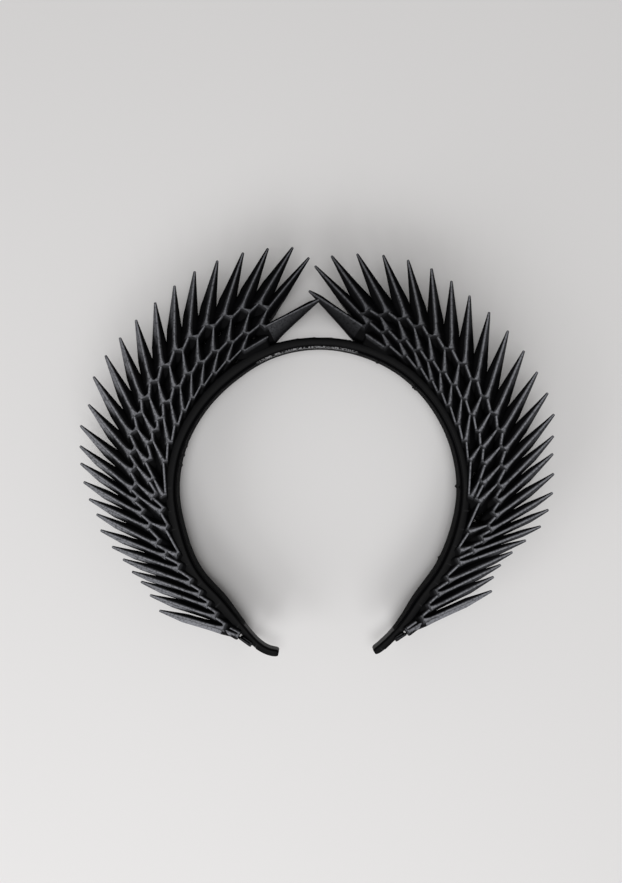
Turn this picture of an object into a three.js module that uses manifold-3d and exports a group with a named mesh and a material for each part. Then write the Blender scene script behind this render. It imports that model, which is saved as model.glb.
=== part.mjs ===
// An origami headpiece lying flat: a wrapped headband with a left and a right fan of folded black paper.
// Millimetres. +X is the photo's right, +Y its top and +Z toward the camera.
import * as THREE from "three";
import Module from "manifold-3d";

const wasm = await Module();
wasm.setup();

const HALF_WIDTH = 65; // half the inner width of the band
const BAND_HIGH = 27.5; // the band's near edge above the floor
const BAND_END = { left: 166, right: 162.5 }; // bearings, in degrees from the top centre
const RIBBON_THICK = 0.7;
const RIBBON_END = 157;
const END_TURN = 0.9; // over which the band and its lining round off at their ends, in degrees
const SEAM = 0.3; // between two pieces that touch on the real thing
const FOOT_LINE = 3; // off the band's inner face, where the stands of the feet are measured from
const DEPTH = 29; // of a paper unit at its feet, which is the height of the whole
const PRONG = 30; // length over which a prong runs out to nothing
const MIDDLE = 0.45; // share of the depth at which a prong is widest
const TOE = 0.65; // a foot behind the foot's centre
const CROTCH = 0.25; // the fork's inside in front of it
const BELLY = 0.45; // where along a prong the widest point lies
const STOP = TOE + SEAM + 0.25; // a nested prong ends this far from the foot that holds it

// The line of the band's inner face as shares of the half width, the thickness of lining and wrapped band
// together, more where the ribbon also binds the fans, and how far the far edge stands off the floor.
const BAND_LINE = [
  // bearing, left share, right share, left thickness, right thickness, low edge
  [0, 0.931, 0.931, 4.6, 4.6, 14.5],
  [20, 0.926, 0.935, 5.2, 4.9, 14.5],
  [40, 0.92, 0.949, 5.6, 4.7, 14.5],
  [60, 0.943, 0.963, 4.8, 3.9, 14.5],
  [80, 0.978, 0.984, 4.2, 3.6, 14.5],
  [95, 0.999, 1.003, 3.4, 3, 14.5],
  [110, 1.014, 1.018, 3, 3, 14.5],
  [125, 1.049, 1.044, 3, 3, 14.5],
  [140, 1.072, 1.077, 3, 3, 15.5],
  [152, 1.129, 1.164, 3.2, 3.2, 17],
  [163, 1.222, 1.27, 4.1, 4.1, 18.5],
  [167, 1.236, 1.315, 4.1, 4.1, 19],
];

// Rear feet of the outer rows. Stand is the distance off the foot line, sweep the turn from straight out
// toward the top centre, gap the distance between the two feet.
const LEFT_OUTER = [
  // unit, bearing, stand, sweep, length, gap
  [0, 18.2, 21.7, 50.5, 29.3, 4.8],
  [2, 29.3, 23.7, 48.8, 29.4, 3.9],
  [4, 42.8, 25.1, 45.5, 29.3, 4],
  [6, 55.4, 24.6, 44.8, 28.4, 3.7],
  [8, 67.2, 23.7, 41.8, 29, 3.8],
  [10, 77.8, 22.1, 39.8, 30.3, 4.1],
  [12, 88.6, 18.2, 37.5, 30.2, 3.9],
  [14, 97.3, 16, 39.3, 29.6, 2.9],
  [16, 106.3, 11.9, 38.8, 29.3, 2.6],
  [18, 117.6, 8, 41.8, 30.8, 2.8],
  [19, 123.2, 5.1, 45.5, 31, 2.7],
  [20, 129.1, 3.8, 56, 31.6, 2.4],
  [22, 139.3, 4.1, 61, 31.4, 2.2],
  [24, 149.1, 5.4, 59, 29.7, 2.4],
];
const RIGHT_OUTER = [
  [0, 17, 17.3, 51, 29.5, 4.2],
  [2, 29.2, 20.4, 47.4, 29.6, 4],
  [4, 40.2, 20.5, 42.6, 30.3, 3.7],
  [6, 52.4, 20.4, 46.8, 30.6, 3],
  [8, 65, 19.9, 44.7, 31.5, 2.8],
  [10, 76.4, 20.4, 42.8, 31, 2.8],
  [12, 87.6, 18, 41.4, 32.6, 2.8],
  [14, 97.5, 15, 46.4, 32.2, 2.7],
  [16, 106.8, 13.2, 44.6, 32.3, 2.7],
  [18, 115.5, 8.5, 41, 32.1, 2.6],
  [19, 121.2, 4.8, 45, 31.4, 2.5],
  [20, 128.1, 4.3, 58.5, 31.3, 2.5],
  [22, 140.4, 5.1, 62.5, 31.8, 2.4],
  [23, 145.4, 5.7, 58, 33.4, 2.4],
];

// Rear feet of the rows inside, whose prongs run to the front feet of the row outside them.
const LEFT_MIDDLE = [
  // unit, bearing, stand, gap
  [0, 20.2, 12.4, 2.4],
  [2, 32.7, 12.6, 2.5],
  [4, 46.3, 13.7, 2.9],
  [6, 58.3, 14.1, 3],
  [8, 70.6, 12.8, 3],
  [10, 79.1, 13.1, 3],
  [11, 84.8, 12.2, 3.2],
  [13, 96.4, 8, 2.8],
  [14, 101.7, 5.1, 2.5],
  [16, 108.4, 4.2, 2.3],
  [18, 118.7, 2.9, 1.8],
];
const LEFT_INNER = [
  [1, 29.9, 6.1, 1.5],
  [3, 44.6, 5.6, 1.6],
  [5, 57.5, 5, 1.5],
  [7, 69.4, 4.7, 1.7],
  [8, 76.4, 4.4, 1.8],
  [10, 83.8, 4, 1.7],
  [12, 96, 3.3, 1.7],
];
const RIGHT_MIDDLE = [
  [0, 18.1, 12, 3.2],
  [2, 32.4, 11.3, 3.2],
  [4, 44.1, 10.8, 2.4],
  [7, 61.9, 11, 1.9],
  [9, 74.1, 10.3, 1.7],
  [11, 85.2, 9.3, 1.9],
  [12, 91.9, 7.6, 2.5],
  [13, 98.1, 6, 2.3],
  [16, 109.4, 3.7, 1.7],
  [18, 116.9, 2.6, 1.7],
];
const RIGHT_INNER = [
  [1, 28.1, 5.3, 2],
  [2, 35.4, 5.2, 1.9],
  [4, 49, 4.1, 1.7],
  [6, 60.7, 3.5, 1.6],
  [7, 68.6, 3, 1.5],
  [8, 75.5, 3.3, 1.7],
  [10, 83.1, 3, 1.5],
  [12, 96.5, 2.2, 1.5],
];

// Each wing. A free prong is the front one of a row's first unit, which enters no other unit: its length, its
// angle above the horizontal, how far its far edge leans per millimetre of depth and its widest half width.
const WINGS = [
  {
    name: "left", sign: -1, outer: LEFT_OUTER, outerCount: 25, tail: [[154.4, 2.9, 1.8], [158.8, 2, 1.1]],
    middle: LEFT_MIDDLE, middleUnits: [0, 1, 2, 3, 4, 5, 6, 7, 8, 9, 10, 11, 12, 13, 14, 16, 18],
    inner: LEFT_INNER, innerUnits: [1, 2, 3, 4, 5, 6, 7, 8, 10, 12],
    outerFree: { length: 29.4, bearing: 51, lean: 0.05, belly: 1.5 },
    middleFree: { length: 27.2, bearing: 26.7, lean: 0.16, belly: 1.1 },
    innerFree: { length: 9.5, bearing: 30.6, lean: 0, belly: 0.6 }, lastLean: -0.2, lastBelly: 2,
  },
  {
    name: "right", sign: 1, outer: RIGHT_OUTER, outerCount: 24, tail: [[150.9, 2.9, 1.8], [154.8, 2, 1.1]],
    middle: RIGHT_MIDDLE, middleUnits: [0, 1, 2, 3, 4, 5, 6, 7, 8, 9, 10, 11, 12, 13, 16, 18],
    inner: RIGHT_INNER, innerUnits: [1, 2, 3, 4, 5, 6, 7, 8, 10, 12],
    outerFree: { length: 30.4, bearing: 46.3, lean: 0.05, belly: 1.5 },
    middleFree: { length: 29.6, bearing: 33, lean: 0.16, belly: 1.1 },
    innerFree: { length: 8.5, bearing: 34, lean: 0, belly: 0.6 }, lastLean: -0.2, lastBelly: 2,
  },
];

const part = new THREE.Group();
part.name = "origami_headpiece";

function add(name, geometry, color, roughness) {
  const mesh = new THREE.Mesh(geometry, new THREE.MeshStandardMaterial({ color, roughness }));
  mesh.name = name;
  part.add(mesh);
}

const addPaper = (name, geometry) => add(name, geometry, 0x1b1b1d, 0.85);

// A smooth reader of one column of a table whose first column holds the stations.
function column(table, index) {
  const stations = Float32Array.from(table, (row) => row[0]);
  const values = Float32Array.from(table, (row) => row[index]);
  const curve = new THREE.CubicInterpolant(stations, values, 1, new Float32Array(1));
  return (station) => curve.evaluate(station)[0];
}

const leftShare = column(BAND_LINE, 1);
const rightShare = column(BAND_LINE, 2);
const leftThick = column(BAND_LINE, 3);
const rightThick = column(BAND_LINE, 4);
const bandLow = column(BAND_LINE, 5);

// The band at a bearing, negative on the left: a point on its inner face and the direction outward.
function bandAt(bearing) {
  const point = (at) => {
    const turn = THREE.MathUtils.degToRad(at);
    const radius = HALF_WIDTH * (at < 0 ? leftShare(-at) : rightShare(at));
    return new THREE.Vector2(Math.sin(turn), Math.cos(turn)).multiplyScalar(radius);
  };
  const along = point(bearing + 0.5).sub(point(bearing - 0.5)).normalize();
  return { inner: point(bearing), outward: new THREE.Vector2(-along.y, along.x) };
}

const turned = (direction, degrees) =>
  direction.clone().rotateAround(new THREE.Vector2(), THREE.MathUtils.degToRad(degrees));

const ahead = (from, direction, distance) => from.clone().addScaledVector(direction, distance);

// A closed solid through rings of equally many points, whose first and last ring are filled flat.
function solid(rings, flatten) {
  const count = rings[0].length;
  const faces = [];
  for (let ring = 0; ring + 1 < rings.length; ring += 1) {
    for (let i = 0; i < count; i += 1) {
      const a = ring * count + i;
      const b = ring * count + ((i + 1) % count);
      faces.push([a, b, b + count], [a, b + count, a + count]);
    }
  }
  const fill = (ring) => THREE.ShapeUtils.triangulateShape(rings[ring].map(flatten), [])
    .map((face) => face.map((i) => ring * count + i));
  const runsWith = (face) => {
    const step = (face[1] - face[0] + count) % count;
    return step < (face[2] - face[0] + count) % count;
  };
  for (const face of fill(0)) faces.push(runsWith(face) ? [face[0], face[2], face[1]] : face);
  for (const face of fill(rings.length - 1)) faces.push(runsWith(face) ? face : [face[0], face[2], face[1]]);
  const points = rings.flat();
  const volume = faces.reduce((sum, [a, b, c]) => sum + points[a].dot(points[b].clone().cross(points[c])), 0);
  const geometry = new THREE.BufferGeometry().setFromPoints(points);
  geometry.setIndex(faces.flatMap(([a, b, c]) => (volume > 0 ? [a, b, c] : [a, c, b])));
  return geometry;
}

// A strip along the band between two distances off its inner face, with bevelled edges and rounded ends.
function strip(from, to, steps, near, far, low, high, bevel) {
  const even = Array.from({ length: steps - 1 }, (_, i) => from + ((to - from) * (i + 1)) / steps);
  const stations = [from, from + END_TURN, ...even, to - END_TURN, to];
  const rings = stations.map((bearing, index) => {
    const { inner, outward } = bandAt(bearing);
    const end = index === 0 || index === stations.length - 1 ? 0.55 : 1;
    const middle = (near(bearing) + far(bearing)) / 2;
    const half = ((far(bearing) - near(bearing)) / 2) * end;
    const centre = (low(bearing) + high) / 2;
    const rise = ((high - low(bearing)) / 2) * (end < 1 ? 0.85 : 1);
    const corners = [
      [-half + bevel * end, -rise], [half - bevel * end, -rise], [half, -rise + bevel], [half, rise - bevel],
      [half - bevel * end, rise], [-half + bevel * end, rise], [-half, rise - bevel], [-half, -rise + bevel],
    ];
    return corners.map(([off, z]) => {
      const at = ahead(inner, outward, middle + off);
      return new THREE.Vector3(at.x, at.y, centre + z);
    });
  });
  return solid(rings, (point) => new THREE.Vector2(Math.hypot(point.x, point.y), point.z));
}

// One prong of a fork. Its side direction points away from the other prong for the front one and toward it
// for the rear one; lean moves its far edge that way, per millimetre of depth.
function prong(foot, direction, side, length, widths, lean = 0) {
  return { foot, direction, side, length, lean, ...widths };
}

// A point of a prong's outline at one of the three levels.
function outlinePoint(fork, at, hand, half, level) {
  const depth = DEPTH * THREE.MathUtils.clamp(1 - (at - CROTCH) / (PRONG - CROTCH), 0.045, 1) * level;
  const point = ahead(fork.foot, fork.direction, at);
  point.addScaledVector(fork.side, hand * half + fork.lean * depth);
  return new THREE.Vector3(point.x, point.y, DEPTH - depth);
}

// A folded unit as a closed solid: flat near edges, bellied prongs and thin far edges that slope to the tips.
function unit(rear, front) {
  const levels = [
    { level: 0, foot: "foot", belly: "strip", tip: 1 },
    { level: MIDDLE, foot: "waist", belly: "belly", tip: 1.2 },
    { level: 1, foot: "edge", belly: "edge", tip: 0.8 },
  ];
  const rings = levels.map(({ level, foot, belly, tip }) => {
    const at = (fork, along, hand, half) => outlinePoint(fork, along, hand, half, level);
    const outside = (fork, hand, reverse) => {
      const points = [
        at(fork, -TOE, hand, fork[foot === "foot" ? "toe" : foot] * (foot === "waist" ? 0.8 : 1)),
        at(fork, CROTCH, hand, fork[foot === "foot" ? "heel" : foot]),
        at(fork, fork.length * BELLY, hand, fork[belly]),
        at(fork, fork.length, hand, fork.end * tip),
      ];
      return reverse ? points.reverse() : points;
    };
    const inside = (fork, hand, reverse) => {
      const points = [
        at(fork, fork.length, hand, fork.end * tip),
        at(fork, fork.length * BELLY, hand, fork[belly]),
        at(fork, CROTCH, hand, fork[foot === "foot" ? "heel" : foot]),
      ];
      return reverse ? points.reverse() : points;
    };
    return [
      ...outside(rear, -1, false), ...inside(rear, 1, false),
      ...inside(front, -1, true), ...outside(front, 1, true),
    ];
  });
  return solid(rings, (point) => new THREE.Vector2(point.x, point.y));
}

// Half widths of a prong whose feet stand a gap apart, with a given belly and end.
function widths(gap, belly, end) {
  const heel = Math.min(1.1, 0.4 * gap);
  return {
    toe: heel * 0.7, heel, strip: Math.min(0.62, heel), waist: Math.min(1.3, 0.41 * gap),
    belly, edge: 0.3, end,
  };
}

// Distance from a point to the line through a foot along its prong.
function offLine(point, foot, direction) {
  return Math.abs(point.clone().sub(foot).cross(direction));
}

// Rear foot, direction and front foot of every unit of an outer row.
function outerPlaces(wing) {
  const [bearing, stand, sweep, length, gap] = [1, 2, 3, 4, 5].map((index) => column(wing.outer, index));
  return Array.from({ length: wing.outerCount }, (_, k) => {
    const { inner, outward } = bandAt(wing.sign * bearing(k));
    const rear = ahead(inner, outward, FOOT_LINE + stand(k));
    const direction = turned(outward, wing.sign * sweep(k));
    const side = turned(direction, wing.sign * 90);
    return { k, rear, direction, side, length: length(k), gap: gap(k), front: ahead(rear, side, gap(k)) };
  });
}

// The same for a row inside, whose rear prongs aim at the front feet of the row outside it.
function nestedPlaces(wing, table, units, outside) {
  const [bearing, stand, gap] = [1, 2, 3].map((index) => column(table, index));
  return units.map((k) => {
    const { inner, outward } = bandAt(wing.sign * bearing(k));
    const rear = ahead(inner, outward, FOOT_LINE + stand(k));
    const target = outside.find((place) => place.k === k).front;
    const direction = target.clone().sub(rear).normalize();
    const side = turned(direction, wing.sign * 90);
    const length = target.distanceTo(rear) - STOP;
    return { k, rear, direction, side, length, gap: gap(k), front: ahead(rear, side, gap(k)) };
  });
}

// The front prong of a unit, which runs into the foot before it, or lies free on the row's first unit.
function frontProng(wing, place, before, free, shortBy) {
  if (!before) {
    const turn = THREE.MathUtils.degToRad(free.bearing);
    const direction = new THREE.Vector2(-wing.sign * Math.cos(turn), Math.sin(turn));
    const side = turned(direction, wing.sign * 90);
    return prong(place.front, direction, side, free.length, widths(place.gap, free.belly, 0.35), free.lean);
  }
  const direction = before.rear.clone().sub(place.front).normalize();
  const length = before.rear.distanceTo(place.front) - shortBy;
  const side = turned(direction, wing.sign * 90);
  const half = Math.min(0.8, 0.4 * place.gap);
  return prong(place.front, direction, side, length, { ...widths(place.gap, half, half * 0.8) });
}

function outerUnits(wing, places) {
  return places.map((place, k) => {
    const at = ahead(place.rear, place.direction, place.length * BELLY);
    const pitch = Math.min(...[places[k - 1], places[k + 1]].filter(Boolean)
      .map((other) => offLine(at, other.rear, other.direction)));
    const belly = THREE.MathUtils.clamp(pitch / 2 - 0.2, 0.6, 2.4);
    const last = k === places.length - 1;
    const rear = prong(
      place.rear, place.direction, place.side, place.length,
      widths(place.gap, last ? wing.lastBelly : belly, 0.35), last ? wing.lastLean : 0,
    );
    return unit(rear, frontProng(wing, place, places[k - 1], wing.outerFree, STOP));
  });
}

// The short units in line below the last one, with both prongs in the unit above them.
function tailUnits(wing, above) {
  let holder = above;
  return wing.tail.map(([bearing, stand, gap]) => {
    const { inner, outward } = bandAt(wing.sign * bearing);
    const rear = ahead(inner, outward, FOOT_LINE + stand);
    const direction = holder.rear.clone().sub(rear).normalize();
    const side = turned(direction, wing.sign * 90);
    const front = ahead(rear, side, gap);
    const length = holder.rear.distanceTo(rear) - STOP - 1.5;
    const sizes = widths(gap, 0.6, 0.5);
    holder = { rear };
    return unit(
      prong(rear, direction, side, length, sizes, wing.lastLean),
      prong(front, direction, side, length * 0.8, sizes, wing.lastLean),
    );
  });
}

function toManifold(geometry) {
  return new wasm.Manifold(new wasm.Mesh({
    numProp: 3,
    vertProperties: Float32Array.from(geometry.attributes.position.array),
    triVerts: Uint32Array.from(geometry.index.array),
  }));
}

// A row fused into one body: every front prong runs on into the foot before it.
function fusedRow(wing, places, free) {
  let whole = null;
  places.forEach((place, index) => {
    const sizes = widths(place.gap, Math.min(1, 0.42 * place.gap), 0.5);
    const rear = prong(place.rear, place.direction, place.side, place.length, sizes);
    const piece = toManifold(unit(rear, frontProng(wing, place, places[index - 1], free, -0.2)));
    whole = whole ? whole.add(piece) : piece;
  });
  const mesh = whole.getMesh();
  const geometry = new THREE.BufferGeometry();
  geometry.setAttribute("position", new THREE.BufferAttribute(mesh.vertProperties, 3));
  geometry.setIndex(new THREE.BufferAttribute(mesh.triVerts, 1));
  return geometry;
}

// Head band and its inner ribbon
const low = (bearing) => bandLow(Math.abs(bearing));
const whole = (bearing) => (bearing < 0 ? leftThick(-bearing) : rightThick(bearing));
const band = strip(-BAND_END.left, BAND_END.right, 54, () => RIBBON_THICK + SEAM, whole, low, BAND_HIGH, 0.7);
const lining = strip(
  -RIBBON_END, RIBBON_END, 49, () => 0, () => RIBBON_THICK, (bearing) => low(bearing) + 0.5, BAND_HIGH - 0.5, 0.25,
);
add("head_band", band, 0x151517, 0.75);
add("inner_ribbon", lining, 0x232325, 0.9);

// Wings
for (const wing of WINGS) {
  const outer = outerPlaces(wing);
  const middle = nestedPlaces(wing, wing.middle, wing.middleUnits, outer);
  const inner = nestedPlaces(wing, wing.inner, wing.innerUnits, middle);
  const units = [...outerUnits(wing, outer), ...tailUnits(wing, outer.at(-1))];
  units.forEach((geometry, i) => addPaper(`${wing.name}_unit_${String(i + 1).padStart(2, "0")}`, geometry));
  addPaper(`${wing.name}_middle_row`, fusedRow(wing, middle, wing.middleFree));
  addPaper(`${wing.name}_inner_row`, fusedRow(wing, inner, wing.innerFree));
}

// The origin goes under the middle of the whole.
const box = new THREE.Box3().setFromObject(part);
const centre = box.getCenter(new THREE.Vector3());
part.position.set(-centre.x, -centre.y, -box.min.z);

export default part;
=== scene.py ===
# %% [markdown]
# # Origami headpiece
# A horseshoe band wrapped in black ribbon carries two fans of folded black paper. The fans are built of
# two-pronged units pushed into one another in three rows. This lesson gives the CAD part its looks: it lays
# out the same lattice of units, folds each one as a smooth closed surface and sets it in soft light.
#
# The units could be copies of one mesh, turned and scaled, but no two on the real piece are alike: each prong
# ends in its neighbour's pocket. So every unit is worked out from where it and its neighbours stand.

# %% Read the frame
import math

import bpy
import numpy as np
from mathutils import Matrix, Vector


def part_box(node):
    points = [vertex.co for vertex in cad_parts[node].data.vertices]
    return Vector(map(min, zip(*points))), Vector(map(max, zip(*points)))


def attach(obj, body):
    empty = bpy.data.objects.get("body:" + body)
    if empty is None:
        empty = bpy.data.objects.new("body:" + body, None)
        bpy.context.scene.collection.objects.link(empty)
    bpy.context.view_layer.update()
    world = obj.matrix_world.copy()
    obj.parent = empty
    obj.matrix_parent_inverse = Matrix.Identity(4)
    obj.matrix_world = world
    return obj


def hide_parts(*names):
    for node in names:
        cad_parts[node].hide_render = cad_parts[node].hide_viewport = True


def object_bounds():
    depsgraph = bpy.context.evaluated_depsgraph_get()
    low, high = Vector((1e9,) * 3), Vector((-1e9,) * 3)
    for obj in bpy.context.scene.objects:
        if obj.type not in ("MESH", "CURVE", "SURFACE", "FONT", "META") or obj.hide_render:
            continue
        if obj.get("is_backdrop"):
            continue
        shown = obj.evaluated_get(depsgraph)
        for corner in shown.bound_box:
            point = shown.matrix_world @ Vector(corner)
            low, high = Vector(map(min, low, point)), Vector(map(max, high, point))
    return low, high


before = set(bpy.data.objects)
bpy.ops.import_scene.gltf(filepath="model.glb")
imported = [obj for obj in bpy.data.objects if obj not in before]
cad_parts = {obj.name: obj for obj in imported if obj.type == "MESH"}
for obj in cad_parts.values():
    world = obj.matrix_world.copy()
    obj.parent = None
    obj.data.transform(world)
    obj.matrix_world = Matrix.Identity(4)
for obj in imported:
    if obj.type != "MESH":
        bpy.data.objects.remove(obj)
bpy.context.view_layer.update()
MM = 0.001

# %% [markdown]
# ## Sizes and the lattice
# Lengths are in millimetres. The band isn't a circle: its two sides differ, it narrows toward the temples
# and turns out at the ends. A curve object could follow it, but the units need a point and a direction on it
# for any bearing, so it is a table: a row per bearing, read smoothly between. The tables of the units say in
# the same way where they stand, and not every unit needs a row of its own.

# %% Lengths
HALF_WIDTH = 65  # of the band's opening, behind the ears
BAND_HIGH = 27.5  # the band's near edge above the floor
RIBBON_THICK = 0.7  # of the lining
SEAM = 0.05  # between the lining and the wrapping
FOOT_LINE = 3  # off the band's inner face, where the feet's stands are measured from
DEPTH = 29  # of a unit at its feet, which is the height of the whole
PRONG = 30  # over which a prong's depth runs out to nothing
TOE = 0.65  # a nested prong ends this far from the foot that holds it
CROTCH = 0.25  # from the feet to where the prongs part
TIP = 0.6  # half the width of a prong's tip
PIXEL = 0.455  # of the photo, at the near edges

# %% The band's line
BAND_LINE = [
    # bearing, left share, right share, left thickness, right thickness, low edge
    [0, 0.931, 0.931, 4.6, 4.6, 14.5],
    [20, 0.926, 0.935, 5.2, 4.9, 14.5],
    [40, 0.92, 0.949, 5.7, 4.9, 14.5],
    [60, 0.943, 0.963, 5.4, 4.6, 14.5],
    [80, 0.978, 0.984, 5.3, 4.6, 14.5],
    [95, 0.999, 1.003, 5.4, 4.8, 14.5],
    [110, 1.014, 1.018, 5.7, 5.2, 14.5],
    [125, 1.049, 1.044, 5.8, 5.4, 14.5],
    [140, 1.072, 1.077, 5.4, 5.2, 15.5],
    [152, 1.129, 1.164, 4.4, 4.4, 17],
    [163, 1.218, 1.248, 4.1, 4.1, 18.5],
    [167, 1.218, 1.27, 4.2, 4.1, 19],
]
print("Rows in the band's table:", len(BAND_LINE))

# %% The outer rows of units
LEFT_OUTER = [
    # unit, bearing, stand, sweep, length, gap
    [0, 18.2, 21.7, 50.5, 29.3, 4.8],
    [2, 29.3, 23.7, 48.8, 29.4, 3.9],
    [4, 42.8, 25.1, 45.5, 29.3, 4],
    [6, 55.4, 24.6, 44.8, 28.4, 3.7],
    [8, 67.2, 23.7, 41.8, 29, 3.8],
    [10, 77.8, 22.1, 39.8, 30.3, 4.1],
    [11, 83.4, 20, 38.8, 28.6, 4.1],
    [12, 88.6, 18.2, 36.8, 30.5, 3.9],
    [13, 93.8, 17.3, 39.8, 30.1, 3.7],
    [14, 97.3, 16, 39.3, 29.6, 2.9],
    [16, 106.3, 11.9, 38.8, 29.3, 2.6],
    [17, 112.9, 10.2, 42.8, 29.9, 2.8],
    [18, 117.6, 8.1, 41.5, 31, 2.8],
    [19, 123.2, 5.1, 45.5, 31, 2.7],
    [20, 129.1, 3.8, 56, 31.6, 2.4],
    [22, 139.3, 4.1, 61, 31.4, 2.2],
    [24, 149.1, 5.4, 59, 29.7, 2.4],
]
RIGHT_OUTER = [
    [0, 17, 17.3, 51, 29.5, 4.2],
    [2, 29.2, 20.4, 47.4, 29.6, 4],
    [4, 40.2, 20.5, 42.6, 30.3, 3.7],
    [6, 52.4, 20.4, 46.8, 30.6, 3],
    [8, 65, 19.9, 44.7, 31.5, 2.8],
    [10, 76.4, 20.4, 42.8, 31, 2.8],
    [12, 87.6, 18, 41.4, 32.8, 2.8],
    [13, 93.3, 15.9, 44.6, 32.8, 2.8],
    [14, 97.5, 15, 46.4, 32.2, 2.7],
    [16, 106.8, 13.2, 44.6, 32.3, 2.7],
    [18, 115.5, 8.5, 41, 32.1, 2.6],
    [19, 121.2, 4.8, 45, 31.4, 2.5],
    [20, 128.1, 4.3, 58.5, 31.3, 2.5],
    [21, 134.2, 4.1, 63.8, 31, 2.5],
    [22, 140.4, 5.1, 62.5, 31.8, 2.4],
    [23, 145.4, 5.7, 58, 33.4, 2.4],
]
print("Rows for the outer units:", len(LEFT_OUTER), "left,", len(RIGHT_OUTER), "right")

# %% The middle and inner rows
LEFT_MIDDLE = [
    # unit, bearing, stand, gap
    [0, 20.2, 12.4, 2.4],
    [2, 32.7, 12.6, 2.5],
    [4, 46.3, 13.7, 2.9],
    [6, 58.3, 14.1, 3],
    [7, 64.8, 14.3, 3.6],
    [8, 70.6, 12.8, 3],
    [10, 79.1, 13.1, 3],
    [11, 84.8, 12.2, 3.2],
    [12, 91, 9.5, 2.6],
    [13, 96.4, 8, 2.8],
    [14, 101.7, 5.1, 2.5],
    [16, 108.4, 4.2, 2.3],
    [18, 118.7, 2.9, 1.8],
]
LEFT_INNER = [
    [1, 29.9, 6.1, 1.5],
    [3, 44.6, 5.6, 1.6],
    [5, 57.5, 5, 1.5],
    [7, 69.4, 4.7, 1.7],
    [8, 76.4, 4.4, 1.8],
    [10, 83.8, 4, 1.7],
    [12, 96, 3.3, 1.7],
]
RIGHT_MIDDLE = [
    [0, 18.1, 12, 3.2],
    [2, 32.4, 11.3, 3.2],
    [4, 44.1, 10.8, 2.4],
    [7, 61.9, 11, 1.9],
    [9, 74.1, 10.3, 1.7],
    [11, 85.2, 9.3, 1.9],
    [12, 91.9, 7.6, 2.5],
    [13, 98.1, 6, 2.3],
    [16, 109.4, 3.7, 1.7],
    [18, 116.9, 2.6, 1.7],
]
RIGHT_INNER = [
    [1, 28.1, 5.3, 2],
    [2, 35.4, 5.2, 1.9],
    [4, 49, 4.1, 1.7],
    [6, 60.7, 3.5, 1.6],
    [7, 68.6, 3, 1.5],
    [8, 75.5, 3.3, 1.7],
    [10, 83.1, 3, 1.5],
    [12, 96.5, 2.2, 1.5],
]
print("Rows for the units inside:", len(LEFT_MIDDLE) + len(LEFT_INNER), "left,",
      len(RIGHT_MIDDLE) + len(RIGHT_INNER), "right")

# %% The two wings
# Fine is the share of their full width that near edges have at the crown. The slopes are how far the spikes
# widen from tip to foot on their outer and inner sides. The crown, rim, side and face amounts are painted
# light: a painted highlight on the near edges at the crown, painted light on the outer sides down the wing
# and on the free prong's face, and the rim's share of the edge highlight. A free prong: its length, its angle
# above the horizontal, its lean per millimetre of depth, its widest half widths toward the band and away from
# it, and how far they widen from the tip over its length.
WINGS = [
    {"name": "left", "sign": -1, "fine": 0.66, "slopes": (4.5, 3.7),
     "crown_highlight": 0.6, "rim_highlight": 0.7, "side_light": 0.9, "face_light": 0.5,
     "outer": LEFT_OUTER, "count": 25,
     "tail": [[154.4, 2.9, 1.8], [158.8, 1.3, 1.1]],
     "middle": LEFT_MIDDLE, "middle_units": [*range(15), 16, 18],
     "inner": LEFT_INNER, "inner_units": [*range(1, 9), 10, 12],
     "outer_free": (29.4, 51, 0.05, 2.5, 2.5, 3),
     "middle_free": (27.4, 26.7, 0.16, 6.8, 1.5, 6.2),
     "inner_free": (12, 30.6, 0, 5.2, 2.6, 40)},
    {"name": "right", "sign": 1, "fine": 1, "slopes": (4.1, 4.1),
     "crown_highlight": 0.4, "rim_highlight": 0.35, "side_light": 0.2, "face_light": 0.2,
     "outer": RIGHT_OUTER, "count": 24,
     "tail": [[150.9, 2.9, 1.8], [154.8, 1.3, 1.1]],
     "middle": RIGHT_MIDDLE, "middle_units": [*range(14), 16, 18],
     "inner": RIGHT_INNER, "inner_units": [*range(1, 9), 10, 12],
     "outer_free": (30.4, 46.3, 0.05, 2.5, 2.5, 3),
     "middle_free": (29.6, 33, 0.16, 5.3, 1.5, 5.4),
     "inner_free": (10.5, 34, 0, 5.2, 2.6, 40)},
]
LAST_LEAN = -0.2  # of the last spike and the tail units, per millimetre of depth
print("Spikes:", {wing["name"]: wing["count"] for wing in WINGS})


# %% A smooth table and the band's inner face
def smooth(table, index, at):
    """A column of a table at any station: a cubic between two rows, whose slope at a row is the mean of the
    straight slopes on its two sides."""
    x, y = np.array(table, float)[:, 0], np.array(table, float)[:, index]
    chord = np.diff(y) / np.diff(x)
    slope = np.concatenate([chord[:1], (chord[1:] + chord[:-1]) / 2, chord[-1:]])
    at = np.clip(np.asarray(at, float), x[0], x[-1])
    i = np.clip(np.searchsorted(x, at, side="right") - 1, 0, len(x) - 2)
    h = x[i + 1] - x[i]
    t = (at - x[i]) / h
    return ((1 + 2 * t) * (1 - t) ** 2 * y[i] + t * (1 - t) ** 2 * h * slope[i]
            + t * t * (3 - 2 * t) * y[i + 1] - t * t * (1 - t) * h * slope[i + 1])


def band_at(bearing):
    """Points on the band's inner face at bearings from the crown, negative on the left, and the directions
    outward: the radius is the half width times the share for that bearing and side."""
    def point(at):
        share = np.where(at < 0, smooth(BAND_LINE, 1, -at), smooth(BAND_LINE, 2, at))
        turn = np.radians(at)
        return HALF_WIDTH * share[..., None] * np.stack([np.sin(turn), np.cos(turn)], -1)
    bearing = np.asarray(bearing, float)
    along = point(bearing + 0.5) - point(bearing - 0.5)
    along /= np.linalg.norm(along, axis=-1, keepdims=True)
    return point(bearing), np.stack([-along[..., 1], along[..., 0]], -1)


print("Inner width at 95 degrees:", round(float(np.ptp(band_at([-95, 95])[0][:, 0])), 1), "mm")


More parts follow.
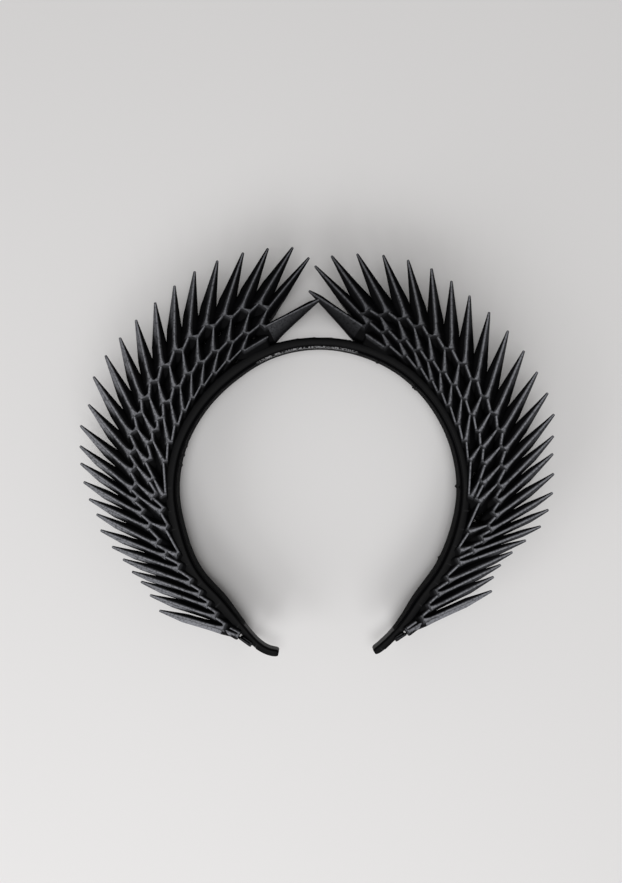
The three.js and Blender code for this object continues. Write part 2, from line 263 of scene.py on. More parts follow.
# %% Directions
def turned(direction, degrees):
    """Directions turned counter-clockwise by an angle."""
    a = np.radians(np.asarray(degrees, float))[..., None]
    x, y = direction[..., :1], direction[..., 1:]
    return np.concatenate([x * np.cos(a) - y * np.sin(a), x * np.sin(a) + y * np.cos(a)], -1)


def unit_vector(v):
    """Vectors over their own lengths, and the lengths."""
    length = np.linalg.norm(v, axis=-1)
    return v / length[..., None], length


# %% [markdown]
# ## Where the units stand
# On the real piece a unit is pushed with both its prongs into the pockets of its neighbours. The outer row is
# placed off the band by its table. A unit of an inner row aims its rear prong at the front foot of the unit
# outside it. Every front prong runs into the rear foot of the unit before it in its row. Measuring each
# prong's direction on its own would work too, but this keeps the lattice joined when a table changes.

# %% Places of a row
def feet(wing, bearing, stand):
    """Rear feet at bearings, standing off the foot line of the band, and the directions outward there."""
    inner, outward = band_at(wing["sign"] * bearing)
    return inner + outward * (FOOT_LINE + stand)[:, None], outward


def row(wing, k, rear, direction, length, gap):
    """Places of one row: rear feet, the prongs' directions and lengths, and the front feet, which lie square
    to the prongs at the gap. The near edges grow from their share at the crown to full width at unit 8."""
    side = turned(direction, wing["sign"] * 90)
    return {"k": k, "sign": wing["sign"], "rear": rear, "dir": direction, "side": side, "length": length,
            "gap": gap, "front": rear + side * gap[:, None], "rear_lean": np.zeros(len(k)),
            "fine": wing["fine"] + (1 - wing["fine"]) * np.clip(k / 8, 0, 1),
            "slopes": wing["slopes"]}


def outer_places(wing):
    """The outer row, whose prongs are turned toward the crown from straight out."""
    k = np.arange(wing["count"])
    bearing, stand, sweep, length, gap = (smooth(wing["outer"], i, k) for i in range(1, 6))
    rear, outward = feet(wing, bearing, stand)
    return row(wing, k, rear, turned(outward, wing["sign"] * sweep), length, gap)


def nested_places(wing, table, units, outside):
    """A row inside, whose rear prongs end at the front feet of the row outside."""
    k = np.array(units)
    bearing, stand, gap = (smooth(table, i, k) for i in range(1, 4))
    rear, _ = feet(wing, bearing, stand)
    direction, length = unit_vector(outside["front"][np.searchsorted(outside["k"], k)] - rear)
    return row(wing, k, rear, direction, length - TOE, gap)


# %% Front prongs and tail units
def add_fronts(places, free):
    """Front prongs: each ends at the rear foot before it, and the first lies free at its own bearing."""
    direction, length = unit_vector(places["rear"][:-1] - places["front"][1:])
    a = math.radians(free[1])
    first = np.array([[-places["sign"] * math.cos(a), math.sin(a)]])
    places["front_dir"] = np.concatenate([first, direction])
    places["front_length"] = np.concatenate([[free[0]], length - TOE])
    places["front_lean"] = np.where(np.arange(len(places["k"])) == 0, free[2], 0.0)


def tail_places(wing, outer):
    """The two short units in line below the last one, each with both prongs in the unit above it. They end
    1.6 mm from it, and a front prong is 0.8 times as long as the rear one."""
    bearing, stand, gap = np.array(wing["tail"], float).T
    rear, _ = feet(wing, bearing, stand)
    direction, length = unit_vector(np.stack([outer["rear"][-1], rear[0]]) - rear)
    places = row(wing, np.arange(2), rear, direction, length - 1.6, gap)
    places["rear_lean"] = places["front_lean"] = np.full(2, LAST_LEAN)
    places["front_dir"], places["front_length"] = direction, 0.8 * places["length"]
    return places


# %% Room between the prongs
ROOM_AT = 0.16  # share of a prong's length, from its foot, at which the room is measured
LEAST_ROOM, MOST_ROOM = 0.8, 4.2


def half_pitches(places):
    """Half the way from each rear prong, near its foot, to the axes of the prongs before it and after it,
    within the least and the most room."""
    at = places["rear"] + places["dir"] * (places["length"] * ROOM_AT)[:, None]

    def off(a, b):
        way = at[a] - places["rear"][b]
        across = way[:, 0] * places["dir"][b][:, 1] - way[:, 1] * places["dir"][b][:, 0]
        return np.clip(np.abs(across) / 2, LEAST_ROOM, MOST_ROOM)
    first, last = slice(0, len(at) - 1), slice(1, len(at))
    before, after = off(last, first), off(first, last)
    return np.concatenate([before[:1], before]), np.concatenate([after, after[-1:]])


# %% [markdown]
# ## A folded unit
# A unit is one rectangle of paper, folded to two hollow prongs. Seen from above its near fold is a narrow
# strip that catches the light, given a painted highlight, and the rest falls away in the dark. It could be
# folded from flat faces, but paper pushed together this tightly bulges, so a smooth surface is nearer to it.
# It is closed, and runs from the rear prong's tip down to its foot, round the rim and up the front prong. At
# each of its stations a loop of points goes across the near fold, down the inner face, round the far edge and
# up the outer face. Near, middle and far outlines give the loop its width at three depths.

# %% Stations along a unit and points round it
REAR_STATIONS, RIM_STATIONS, FRONT_STATIONS = 30, 21, 16

# Each point of the loop: 0 on the outer side to 1 on the inner side, share of depth, millimetres down.
LOOP = np.array([
    [0, 0, 0.42], [0.05, 0, 0.16], [0.2, 0, 0.03], [0.5, 0, 0], [0.8, 0, 0.03],
    [0.95, 0, 0.16], [1, 0, 0.42], [1, 0.02, 0.4], [1, 0.045, 0.3], [1, 0.08, 0.2], [1, 0.13, 0], [1, 0.3, 0],
    [1, 0.65, 0], [0.95, 0.985, 0], [0.5, 1, 0], [0.05, 0.985, 0],
    [0, 0.65, 0], [0, 0.3, 0], [0, 0.13, 0], [0, 0.08, 0.2], [0, 0.045, 0.3], [0, 0.02, 0.4],
])
WIDEST = 0.13  # share of the depth at which a prong is widest
print("Points in a unit:", (REAR_STATIONS + RIM_STATIONS + FRONT_STATIONS + 4) * len(LOOP))


# %% Outlines at three depths
FAR_HALF = 0.3  # half the width of a prong's far edge
PACKED = 2.6  # the most half width of a nested front prong


def outlines(places, sides, free, keel):
    """The outer and inner edge of the path at three depths, in the unit's own lengths: distance along the
    prong and off its axis. Near the floor of a pocket the near edge of the rear prong flares toward the rim
    as an exponential of the distance. A prong's body is a cone: its half width falls in a straight line to
    the tip, but is never more than half the way to the next prong. The rim has a small ear behind each
    foot, and below it the paper reaches back by the keel."""
    gap, length, front_length, fine = (places[key][:, None]
                                       for key in ("gap", "length", "front_length", "fine"))
    outside, inside = (side[:, None] for side in sides)
    neck = np.minimum(0.4, 0.22 * gap) * fine
    ear = np.minimum(1, gap / 3.4)
    start = np.minimum(CROTCH + 1.1 * ear, 0.5 * front_length)
    f = np.linspace(0, 1, REAR_STATIONS)[None, :] ** 0.8
    g = np.linspace(0, 1, FRONT_STATIONS)[None, :]
    q = np.linspace(-1, 1, RIM_STATIONS)[None, :]
    s_rear = length + (CROTCH + 0.1 - length) * f
    s_front = start + (front_length - start) * g
    first = (np.arange(len(gap)) == 0)[:, None]

    def cone(t, slope, most):
        return np.minimum(TIP + slope * (1 - t), most)

    made = {}
    for level in ("near", "mid", "far"):
        t_rear, t_front = s_rear / length, s_front / front_length
        if level == "near":
            body = neck + 0.06 * np.sin(np.pi * t_rear) - 0.05 * t_rear ** 6
            rear_out = body + 0.9 * ear * fine * np.exp(-s_rear / 2)
            rear_in = body + 0.5 * gap * fine * np.exp(-s_rear / 1.7)
            front_out = front_in = neck * (1 + 0.05 * t_front) + 0 * t_front
        elif level == "mid":
            wider = 1 + 0.22 * np.exp(-s_rear / 5)
            rear_out, rear_in = (cone(t_rear, slope, most) * wider
                                 for slope, most in zip(places["slopes"], (outside, inside)))
            packed = np.minimum(0.9 * gap, PACKED)
            near_foot = 1 + 0.22 * np.exp(-s_front / 5)
            front_out, front_in = (np.where(first, cone(t_front, free[2], most) * near_foot, packed)
                                   for most in free[:2])
        else:
            rear_out = rear_in = FAR_HALF + 0 * t_rear
            front_out = front_in = FAR_HALF + 0 * t_front
        one = np.ones_like(gap)
        r_out, r_in, f_out, f_in = rear_out[:, -1:], rear_in[:, -1:], front_out[:, :1], front_in[:, :1]
        s_foot = s_rear[:, -1:]
        across = (q + 1) / 2
        v_in = r_in + (gap - f_in - r_in) * across
        s_in = s_foot + (start - s_foot) * across ** 2
        knots = [-1, -0.74, -0.62, -0.42, 0, 0.42, 0.62, 0.74, 1]
        if level == "near":
            s_ear = [s_foot, -0.1 * one, -1.15 * ear, -0.5 * one, -0.42 * one, -0.48 * one, -0.75 * ear,
                     0.1 * one, start]
            v_ear = [-r_out, -r_out - 0.2 * ear, -r_out - 0.35 * ear, -0.1 * gap, 0.5 * gap, 0.9 * gap,
                     gap + f_out + 0.25 * ear, gap + f_out + 0.15 * ear, gap + f_out]
        else:
            back = -keel * one
            s_ear = [s_foot, 0.1 * one, 0.5 * back, 0.95 * back, back, 0.95 * back, 0.5 * back, 0.2 * one,
                     start]
            v_ear = [-r_out, -r_out, -0.95 * r_out, -0.7 * r_out, 0.5 * gap, gap + 0.7 * f_out,
                     gap + 0.95 * f_out, gap + f_out, gap + f_out]
        s_out, v_out = (np.stack([np.interp(q[0], knots, line) for line in np.concatenate(rows, 1)])
                        for rows in (s_ear, v_ear))
        made[level] = {
            "s": (np.concatenate([s_rear, s_out, s_front], 1), np.concatenate([s_rear, s_in, s_front], 1)),
            "v": (np.concatenate([-rear_out, v_out, gap + front_out], 1),
                  np.concatenate([rear_in, v_in, gap - front_in], 1)),
        }
    return made


# %% Points of a unit
def unit_points(places, sides, free, keel):
    """Points of all units of a row, as units by stations by loop points by 3. A point at depth share d lies
    on the near outline for d = 0, on the middle one at 0.13 and on the far one for d = 1, and the whole
    outline of the front prong is turned about the front foot to where that prong points."""
    made = outlines(places, sides, free, keel)
    a, d, down = LOOP.T
    to_mid = np.sin(np.clip(d / WIDEST, 0, 1) * np.pi / 2)
    to_far = np.clip((d - WIDEST) / (1 - WIDEST), 0, 1) ** 1.4
    mixed = []
    for key in ("s", "v"):
        near, mid, far = (np.stack(made[level][key], -1) for level in ("near", "mid", "far"))
        edge = near[..., None, :] * (1 - to_mid)[:, None] + mid[..., None, :] * to_mid[:, None]
        edge = edge * (1 - to_far)[:, None] + far[..., None, :] * to_far[:, None]
        mixed.append(edge[..., 0] * (1 - a) + edge[..., 1] * a)
    s, v = mixed
    part = np.clip((np.arange(s.shape[1]) - REAR_STATIONS) / RIM_STATIONS, 0, 1)
    part = (part * part * (3 - 2 * part))[None, :, None]
    share = np.clip(1 - (s - CROTCH) / (PRONG - CROTCH), 0.045, 1)
    depth = DEPTH * share * d + down
    lean = places["rear_lean"][:, None, None] * (1 - part) + places["front_lean"][:, None, None] * part
    u, w = places["dir"], places["side"]
    rear = (places["rear"][:, None, None] + u[:, None, None] * s[..., None]
            + w[:, None, None] * (v + lean * depth)[..., None])
    fu = places["front_dir"]
    fw = turned(fu, places["sign"] * 90)
    off = v - places["gap"][:, None, None]
    front = (places["front"][:, None, None] + fu[:, None, None] * s[..., None]
             + fw[:, None, None] * (off + lean * depth)[..., None])
    flat = rear * (1 - part[..., None]) + front * part[..., None]
    return np.concatenate([flat, (DEPTH - depth)[..., None]], -1)


def rounded_ends(points):
    """Two more loops beyond each end, drawn in toward the end's middle, so that a tip is blunt and round."""
    def cap(end, inside):
        middle = end.mean(-2, keepdims=True)
        out = unit_vector(end.mean(-2) - inside.mean(-2))[0][..., None, :]
        return [middle + (end - middle) * k + out * o for k, o in ((0.85, 0.25), (0.5, 0.5))]
    first = cap(points[:, 0], points[:, 1])
    last = cap(points[:, -1], points[:, -2])
    return np.concatenate([np.stack(first[::-1], 1), points, np.stack(last, 1)], 1)


# %% Meshes
def tube_volume(points, quads):
    """Six times the volume that a tube's walls span with the middle of its points: the sum over its faces of
    the triple products of their corners."""
    p = (points - points.mean(0))[quads]
    return (np.einsum("ij,ij->", p[:, 0], np.cross(p[:, 1], p[:, 2]))
            + np.einsum("ij,ij->", p[:, 0], np.cross(p[:, 2], p[:, 3])))


def closed_mesh(name, points, material, wear_and_painted_light, shift):
    """A closed mesh of tubes in millimetres, each a grid of stations by loop points with its two ends filled.
    The array of the fourth parameter, 0 to 1 for each point, holds real wear on the lining and painted light
    on the paper and the wrapping; it goes into the attribute of that parameter's name, which materials read."""
    n, stations, loop = points.shape[:3]
    index = np.arange(n * stations * loop).reshape(n, stations, loop)
    ahead = np.roll(index, -1, axis=2)
    quads = np.stack([index[:, :-1], ahead[:, :-1], ahead[:, 1:], index[:, 1:]], -1).reshape(n, -1, 4)
    faces = []
    for k in range(n):
        turn = 1 if tube_volume(points[k].reshape(-1, 3), quads[k] - index[k, 0, 0]) > 0 else -1
        faces += quads[k][:, ::turn].tolist()
        faces += [index[k, 0][::-turn].tolist(), index[k, -1][::turn].tolist()]
    mesh = bpy.data.meshes.new(name)
    mesh.from_pydata(((points.reshape(-1, 3) + np.array([*shift, 0])) * MM).tolist(), [], faces)
    mesh.materials.append(material)
    mesh.attributes.new("wear_and_painted_light", "FLOAT", "POINT").data.foreach_set(
        "value", np.broadcast_to(wear_and_painted_light, (n, stations, loop)).astype(np.float32).ravel())
    mesh.shade_smooth()
    mesh.set_sharp_from_angle(angle=math.radians(50))
    mesh.update()
    piece = bpy.data.objects.new(name, mesh)
    bpy.context.scene.collection.objects.link(piece)
    return piece


def place(piece, slot, nodes):
    """Hangs a piece in the frame, for the CAD nodes it takes over."""
    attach(piece, "root")
    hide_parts(*nodes)
    print(f"{piece.name}: {len(piece.data.polygons)} faces in place of {len(nodes)} CAD nodes")


# %% [markdown]
# ## Materials
# The paper is black all through and matt. The grey of its near folds is a painted highlight, where the folds
# catch the lamps, and the grey of outer sides toward the light is painted light; fibres break both up. One
# value for each point of a piece, from 0 to 1, drives that painted light, and on the lining real wear. It
# could be baked into an image, but a value kept in the mesh follows the folds exactly. The ribbon of the
# wrapping is a smooth satin with a painted highlight along the edges of its turns, the lining a coarser woven
# ribbon with frayed light threads at the crown.

# %% Helpers for materials
def srgb(code):
    """An sRGB hex colour as linear red, green, blue and alpha."""
    c = np.array([int(code[i:i + 2], 16) for i in (1, 3, 5)]) / 255
    linear = np.where(c <= 0.04045, c / 12.92, ((c + 0.055) / 1.055) ** 2.4)
    return (*linear.tolist(), 1.0)


def node(material, kind, links=(), **values):
    """Adds a node with given input values and links, as (its input, a node's output)."""
    made = material.node_tree.nodes.new(kind)
    for key, value in values.items():
        if key in made.inputs:
            made.inputs[key].default_value = value
        else:
            setattr(made, key, value)
    for key, output in links:
        material.node_tree.links.new(made.inputs[key], output)
    return made


def surface(name, color, roughness, specular):
    """A material with uniform values on its shader, and the shader."""
    material = bpy.data.materials.new(name)
    material.use_nodes = True
    shader = material.node_tree.nodes["Principled BSDF"]
    shader.inputs["Base Color"].default_value = srgb(color)
    shader.inputs["Roughness"].default_value = roughness
    shader.inputs["Specular IOR Level"].default_value = specular
    return material, shader


def fibre_bump(material, shader, size, strength):
    """A fine bump of fibres, by noise whose grains are a size in millimetres wide and 0.3 times that high."""
    place = node(material, "ShaderNodeTexCoord")
    noise = node(material, "ShaderNodeTexNoise", [("Vector", place.outputs["Object"])],
                 Scale=1 / (size * MM), Detail=4.0)
    bump = node(material, "ShaderNodeBump", [("Height", noise.outputs["Fac"])],
                Strength=strength, Distance=size * MM * 0.3)
    material.node_tree.links.new(shader.inputs["Normal"], bump.outputs["Normal"])


def wear_and_light_color(material, shader, dark, light, grain, low, high):
    """Base colour that runs from dark to light with the piece's attribute of real wear and painted light,
    broken
    up into grains of a size in millimetres: the attribute is multiplied by noise, stretched so that low gives
    0 and high gives 1."""
    wear_and_painted_light = node(material, "ShaderNodeAttribute", attribute_name="wear_and_painted_light")
    place = node(material, "ShaderNodeTexCoord")
    noise = node(material, "ShaderNodeTexNoise", [("Vector", place.outputs["Object"])],
                 Scale=1 / (grain * MM), Detail=1.0)
    sharp = node(material, "ShaderNodeMapRange", [("Value", noise.outputs["Fac"])],
                 **{"From Min": low, "From Max": high})
    product = node(material, "ShaderNodeMath", [(0, wear_and_painted_light.outputs["Fac"]), (1, sharp.outputs["Result"])],
                   operation="MULTIPLY")
    ramp = node(material, "ShaderNodeValToRGB", [("Fac", product.outputs["Value"])])
    ramp.color_ramp.elements[0].color, ramp.color_ramp.elements[1].color = srgb(dark), srgb(light)
    material.node_tree.links.new(shader.inputs["Base Color"], ramp.outputs["Color"])


# %% Black paper
# Paper dyed in the pulp and pressed smooth between rollers, then folded by hand: matt, nearly without gloss.
# It gives the eye deep black faces. The light grey #7c7d82 is painted light: a painted highlight on the folds
# and painted light on the outer sides toward the lamps. Its fibres are taken to lie in flocks 0.35 mm wide,
# and the painted highlight on the folds to break up at 0.2 mm, drawn at 0.9 mm, two pixels of the photo, to
# show.
paper, paper_shader = surface("black_paper", "#040405", 0.65, specular=0.045)
wear_and_light_color(paper, paper_shader, "#040405", "#7c7d82", 0.9, 0.1, 0.54)
fibre_bump(paper, paper_shader, 0.35, 0.3)

# %% Satin ribbon
# Satin ribbon, woven with long floating threads and pressed: a soft sheen where the turns lie flat, and a
# painted highlight, a grey line, at their edges. The floating threads are taken as 0.5 mm long, and so
# are the grains.
satin, satin_shader = surface("satin_ribbon_wrap", "#040405", 0.45, specular=0.06)
wear_and_light_color(satin, satin_shader, "#040405", "#5a5a5c", 0.5, 0.1, 0.54)
fibre_bump(satin, satin_shader, 0.5, 0.2)

# %% Woven ribbon
# Ribbon in plain weave, rubbed at its edge: no gloss, and threads that come out light against the black. They
# are taken as 0.3 mm apart and drawn 0.8 mm apart, nearly two pixels of the photo, to show.
woven, woven_shader = surface("woven_ribbon", "#050506", 0.8, specular=0.04)
wear_and_light_color(woven, woven_shader, "#050506", "#8a8a8c", 0.8, 0.42, 0.6)
fibre_bump(woven, woven_shader, 0.6, 0.8)
print("Materials:", paper.name, satin.name, woven.name)

# %% [markdown]
# ## Band and lining
# The real band is a flat springy strip wound with ribbon, and a second ribbon lies against its inside. Both
# are rounded strips along the band's line. The ribbon is wound round the band, so each turn rises a little to
# its edge, which lies slantwise over the band, and drops to the next. A separate mesh for each turn would
# show no more at this size, so the turns are a small lift of one strip.

# %% A strip along the band
CORNER, SIDE = 5, 7  # points round a corner and along a side of the section
END_TURN = 0.9  # degrees over which a strip's end rounds off
SLANT = 2.6  # times as far on the outer side


def section(half_thick, half_high, bevel):
    """The rounded box across a strip: points off its middle and above it, anticlockwise from below."""
    a = np.linspace(0, np.pi / 2, CORNER)[:, None]
    run = np.linspace(-1, 1, SIDE + 2)[1:-1][:, None]
    flat_t, flat_z = half_thick - bevel, half_high - bevel
    off = np.concatenate([flat_t + bevel * np.sin(a), half_thick + 0 * run, flat_t + bevel * np.cos(a)])
    rise = np.concatenate([-flat_z - bevel * np.cos(a), run * flat_z, flat_z + bevel * np.sin(a)])
    return np.concatenate([off, -off]), np.concatenate([rise, -rise])


def wound(bearings, rise):
    """Where a point of the band lies on its turn of ribbon, from 0 to 1 at the turn's edge: a turn is a
    little over 8 degrees long, uneven by a slow sine, and slants over the band's height."""
    return (bearings * 0.12 + 0.25 * np.sin(bearings / 9) + rise / 40) % 1.0


def ribbon_band(bearings, inside, outside, low, high, bevel, lift):
    """Points of a strip: rings by section points. Its ends shrink to half their thickness as a quarter
    ellipse over the end turn, and over the slant's share of it on the outer side. The lift is the height of
    a wound turn's edge over the next one, on the strip's outer side."""
    inner, outward = band_at(bearings)
    off, rise = section((outside - inside) / 2, (high - low) / 2, bevel)
    left = np.minimum(bearings - bearings[0], bearings[-1] - bearings) / END_TURN
    left = left / np.where(off > 0, SLANT, 1)
    end = 0.5 + 0.5 * np.sqrt(1 - (1 - np.clip(left, 0, 1)) ** 2)
    off = off * end + (off > 0) * lift * wound(bearings, rise) ** 4
    at = inner + outward * ((inside + outside) / 2 + off)[..., None]
    up = (low + high) / 2 + rise * (0.6 + 0.4 * end)
    return np.concatenate([at, up[..., None]], -1).swapaxes(0, 1)[None]


def low_edge(bearings):
    """The height of the band's low edge at bearings, which rises toward its ends."""
    return smooth(BAND_LINE, 5, np.abs(bearings))


def thickness(bearings):
    """The band's thickness at bearings, which differs between the left and the right side."""
    return np.where(bearings < 0, smooth(BAND_LINE, 3, -bearings), smooth(BAND_LINE, 4, bearings))


# %% Frays, and the wrapping's bulge
# Frays on the lining's inner edge: bearing, reach into the opening in millimetres.
FRAYS = [[-84.2, 0.5], [-80, 0.4], [-76, 0.35], [27, 0.4], [46.2, 0.6], [47.4, 0.5], [93, 0.9]]

BAND_ENDS = (-167.2, 162.4)
LINING_END = 157

ends = np.linspace(0, 1, 9) ** 1.5 * END_TURN
between = np.linspace(BAND_ENDS[0] + 1.2, BAND_ENDS[1] - 1.2, 1150)
band_bearings = np.concatenate([BAND_ENDS[0] + ends, between, (BAND_ENDS[1] - ends)[::-1]])
lining_bearings = np.linspace(-LINING_END, LINING_END, 900)
# Toward the temples the lining sinks into the wrapping's edge.
sunk = 0.95 * np.clip((np.abs(lining_bearings) - 140) / 15, 0, 1) ** 2
frayed = sum(reach * np.exp(-((lining_bearings - at) / 0.5) ** 2) for at, reach in FRAYS)


def bulge(bearings):
    """How far the wrapping bulges into the opening near the left end: 0.75 mm times a bell curve."""
    return 0.75 * np.exp(-((bearings + 142) / 8) ** 2)


print("Rings along the band:", len(band_bearings), "and along the lining:", len(lining_bearings))


# %% Make the band and the lining
# The lining begins at the band's line and the wrapping a seam further out.
band_points = ribbon_band(band_bearings, RIBBON_THICK + SEAM - bulge(band_bearings),
                          thickness(band_bearings), low_edge(band_bearings), BAND_HIGH, bevel=1.1, lift=0.22)
lining_points = ribbon_band(lining_bearings, sunk - frayed - bulge(lining_bearings),
                            RIBBON_THICK + 0.3 * sunk - bulge(lining_bearings),
                            low_edge(lining_bearings) + 0.5, BAND_HIGH - 0.5 - sunk, bevel=0.1, lift=0)

# The CAD part's origin is under the middle of its box: the high corner of the lining says how far it was
# shifted from the centre of the bearings.
high_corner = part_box("inner_ribbon")[1]
shift = [high_corner[i] / MM - lining_points[..., i].max() for i in (0, 1)]

# The lining is worn at its near edge between bearings -28 and 18. The wrapping gets a painted highlight on
# the sides along the edges of its turns.
crown = np.clip(np.minimum(lining_bearings + 28, 18 - lining_bearings) / 3, 0, 1)[:, None]
crown = crown * np.clip((lining_points[0, ..., 2] - 21) / 3, 0, 1)
# Painted highlight on the wrapping's outer side, along the edges of its turns.
edges = np.clip((wound(band_bearings, 0) - 0.95) / 0.04, 0, 1)
edges = edges * np.clip((np.abs(band_bearings) - 88) / 5, 0, 0.2)
edges = edges[:, None] * (section(1, 1, 0.1)[0][:, 0] > 0.5)
place(closed_mesh("wrapped_band", band_points, satin, edges, shift), "wrapped_ribbon", ["head_band"])
place(closed_mesh("woven_lining", lining_points, woven, crown, shift), "woven_ribbon", ["inner_ribbon"])

# %% [markdown]
# ## Wings
# The near edge of every unit gets a painted highlight in grey, and the outer face of each wing's last spike,
# which leans over so that light falls on it, gets painted light. Toward the tips the paper's outer side gets
# painted light, more on the left wing. It could be painted by hand, but the points of every unit come in the
# same order, so it is an array.

# %% Rows of a wing
TAIL_BELLY = 2.6
TAIL_ROOM = (np.full(2, TAIL_BELLY), np.array([1.3, 0.5]))


def wing_rows(wing):
    """The rows of a wing: title, places, a free prong's two half widths and slope, keel and CAD nodes."""
    outer = outer_places(wing)
    middle = nested_places(wing, wing["middle"], wing["middle_units"], outer)
    inner = nested_places(wing, wing["inner"], wing["inner_units"], middle)
    for places, free in ((outer, "outer_free"), (middle, "middle_free"), (inner, "inner_free")):
        add_fronts(places, wing[free])
    outer["rear_lean"][-1] = LAST_LEAN
    count = wing["count"]
    names = [f"{wing['name']}_unit_{i + 1:02d}" for i in range(count + 2)]
    return (("spikes", outer, wing["outer_free"][3:], 7.0, names[:count]),
            ("middle_units", middle, wing["middle_free"][3:], 6.0, [f"{wing['name']}_middle_row"]),
            ("inner_units", inner, wing["inner_free"][3:], 6.0, [f"{wing['name']}_inner_row"]),
            ("tail_units", tail_places(wing, outer), (TAIL_BELLY, 1, 40), 1.0, names[count:]))


print("Units:", {wing["name"]: [len(parts[1]["k"]) for parts in wing_rows(wing)] for wing in WINGS})

# %% Painted light on the paper
SHAFT = slice(2, 2 + REAR_STATIONS)
FIRST_SHAFT = slice(-FRONT_STATIONS - 2, None)
EDGE_HIGHLIGHT = [0.3, 0.85, 1, 1, 1, 0.85, 0.3]
SIDE_REACH = [1.25, 1, 0.7, 0.45, 0.25]
FREE_FACE_LIGHT = [0, 0, 0.04, 0.14, 0.3, 0.45]


def paper_painted_light(points, edge, rim, side):
    """Painted light on a row's paper, with an amount for each unit's near edge and outer side and a share for
    its
    rim: a painted highlight on the edge and painted light on the outer side. The edge's painted highlight is
    half as strong on the outer side where it flares at the foot. On the outer side of the rear prong the
    painted light spreads from the edge as far down as the point is near the tip."""
    wear_and_painted_light = np.zeros(points.shape[:3])
    # Painted highlight across the near edge.
    wear_and_painted_light[..., :len(EDGE_HIGHLIGHT)] = np.multiply.outer(edge, EDGE_HIGHLIGHT)[:, None, :]
    t = 1 - np.linspace(0, 1, REAR_STATIONS)[:, None] ** 0.8
    spread = np.clip((t - 0.22) / 0.62, 0, 1) * 1.6 - np.array(SIDE_REACH)[None, :]
    # Painted light on the outer side, toward the tip.
    wear_and_painted_light[:, SHAFT, -5:] = side[:, None, None] * np.clip(spread / 0.5, 0, 1)
    wear_and_painted_light[:, REAR_STATIONS - 5:REAR_STATIONS + 5, :3] *= 0.5
    wear_and_painted_light[:, REAR_STATIONS + 3:REAR_STATIONS + RIM_STATIONS + 1] *= rim
    return wear_and_painted_light


# %% Painted light on a row
def row_painted_light(wing, title, places, points):
    """Painted light on the paper of a row. The near edges' painted highlight grows from its amount at the
    crown to 1 at unit 9, and the painted light on the outer sides from nothing at unit 2.4. The last spike's
    outer face gets painted light all over, and the free prong of the middle row gets painted light on its
    face that fades toward its tip."""
    edge = wing["crown_highlight"] + (1 - wing["crown_highlight"]) * np.clip(places["k"] / 9, 0, 1)
    side = wing["side_light"] * np.clip(places["k"] / 8 - 0.3, 0, 1)
    if title == "tail_units":
        # The tail units get their own painted highlight on the near edges and painted light on the outer
        # sides.
        edge, side = np.array([0.9, 0.15]), np.array([1, 0.05])
    elif title != "spikes":
        side = 0 * side
    wear_and_painted_light = paper_painted_light(points, edge, wing["rim_highlight"], side)
    if title == "spikes":
        # Painted light on the last spike's outer face, all over.
        wear_and_painted_light[-1, SHAFT, -6:] = 1
    if title == "middle_units":
        # Painted light on the middle row's free prong face, fading toward its tip.
        fading = wing["face_light"] * np.linspace(1, 0.15, FRONT_STATIONS + 2)
        wear_and_painted_light[0, FIRST_SHAFT, -6:] = np.multiply.outer(fading, FREE_FACE_LIGHT)
    return wear_and_painted_light


# %% Make the wings
# Units of the middle and inner rows run into each other by 0.8 mm on each side, as the real ones press
# together there, so that no floor shows through the cells.
for wing in WINGS:
    for title, places, widest, keel, nodes in wing_rows(wing):
        before, after = TAIL_ROOM if title == "tail_units" else half_pitches(places)
        overlap = 0.8 if title in ("middle_units", "inner_units") else 0.12
        points = rounded_ends(unit_points(places, (after + overlap, before + overlap), widest, keel))
        wear_and_painted_light = row_painted_light(wing, title, places, points)
        place(closed_mesh(f"{wing['name']}_{title}", points, paper, wear_and_painted_light, shift), "folded_paper", nodes)

# %% [markdown]
# ## Floor, light and camera
# The piece lies on a plain pale floor. Two soft lights stand low at the left and the front and catch the
# folds, one hangs overhead and an even sky fills the shadows. One strong lamp would give hard shadows of
# every spike. The camera looks straight down from 450 mm above the near edges, with the photo's top as +Y.

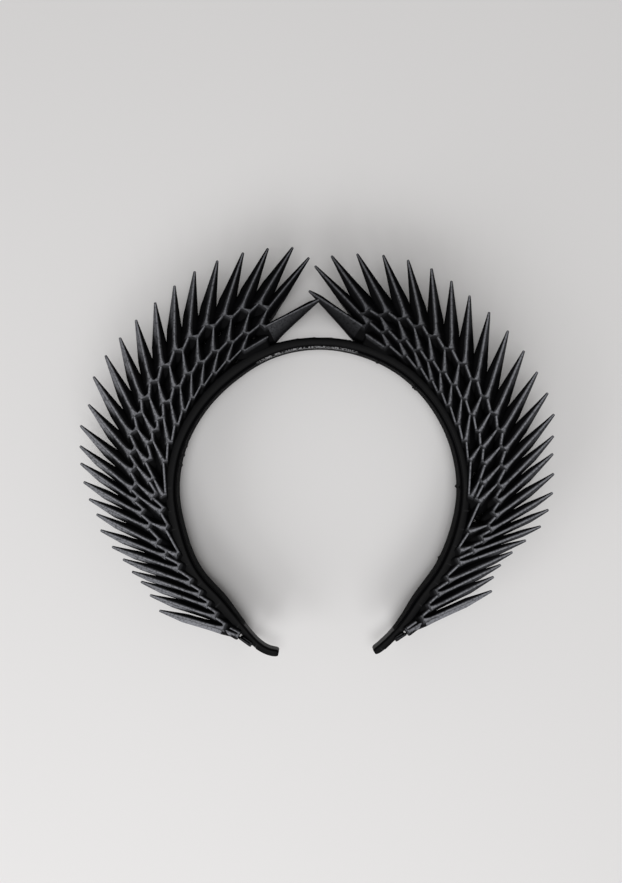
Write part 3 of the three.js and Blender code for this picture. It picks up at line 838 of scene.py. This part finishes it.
# %% The floor
floor_material, _ = surface("pale_board", "#dedddd", 0.9, specular=0.2)
floor_mesh = bpy.data.meshes.new("floor")
floor_mesh.from_pydata([(-3, -3, 0), (3, -3, 0), (3, 3, 0), (-3, 3, 0)], [], [(0, 1, 2, 3)])
floor_mesh.materials.append(floor_material)
floor = bpy.data.objects.new("floor", floor_mesh)
bpy.context.scene.collection.objects.link(floor)
floor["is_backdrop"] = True
print("Floor:", floor_material.name, "6 m wide")


# %% Lights
def panel(name, place, toward, width, watts):
    """A square soft light at a place, turned to another."""
    light = bpy.data.lights.new(name, "AREA")
    light.size, light.energy = width, watts
    holder = bpy.data.objects.new(name, light)
    holder.location = place
    holder.rotation_euler = (Vector(toward) - Vector(place)).to_track_quat("-Z", "Y").to_euler()
    bpy.context.scene.collection.objects.link(holder)
    print(f"{name}: {watts} W from {width} m")


panel("low_left", (-0.95, -0.75, 0.6), (0, 0, 0), 0.8, 7)
panel("low_front", (0.05, -0.95, 0.95), (0, 0, 0), 0.7, 6)
panel("overhead", (0, -0.1, 1.6), (0, 0, 0), 0.5, 9)

world = bpy.data.worlds.new("studio")
world.use_nodes = True
world.node_tree.nodes["Background"].inputs["Color"].default_value = (0.97, 0.95, 0.93, 1)
world.node_tree.nodes["Background"].inputs["Strength"].default_value = 0.27
bpy.context.scene.world = world
bpy.context.scene.view_settings.view_transform = "Standard"

# %% The camera
CAMERA_UP = 450  # millimetres above the near edges
PHOTO_HIGH = 883  # pixels
SENSOR = 36
LEFT_OF_BAND, ABOVE_BAND = 7, 38.5  # the photo's middle from the centre of the bearings, in pixels

camera = bpy.data.objects.new("camera", bpy.data.cameras.new("camera"))
camera.data.sensor_width = SENSOR
camera.data.lens = SENSOR * CAMERA_UP / (PHOTO_HIGH * PIXEL)
camera.location = ((shift[0] - LEFT_OF_BAND * PIXEL) * MM, (shift[1] + ABOVE_BAND * PIXEL) * MM,
                   (DEPTH + CAMERA_UP) * MM)
bpy.context.scene.collection.objects.link(camera)
bpy.context.scene.camera = camera
print(f"Camera: {camera.location.z:.3f} m up, lens {camera.data.lens:.1f} mm")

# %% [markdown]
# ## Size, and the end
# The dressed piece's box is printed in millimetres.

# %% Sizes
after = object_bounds()
print("Dressed box in mm:", [[round(v / MM, 1) for v in corner] for corner in after])
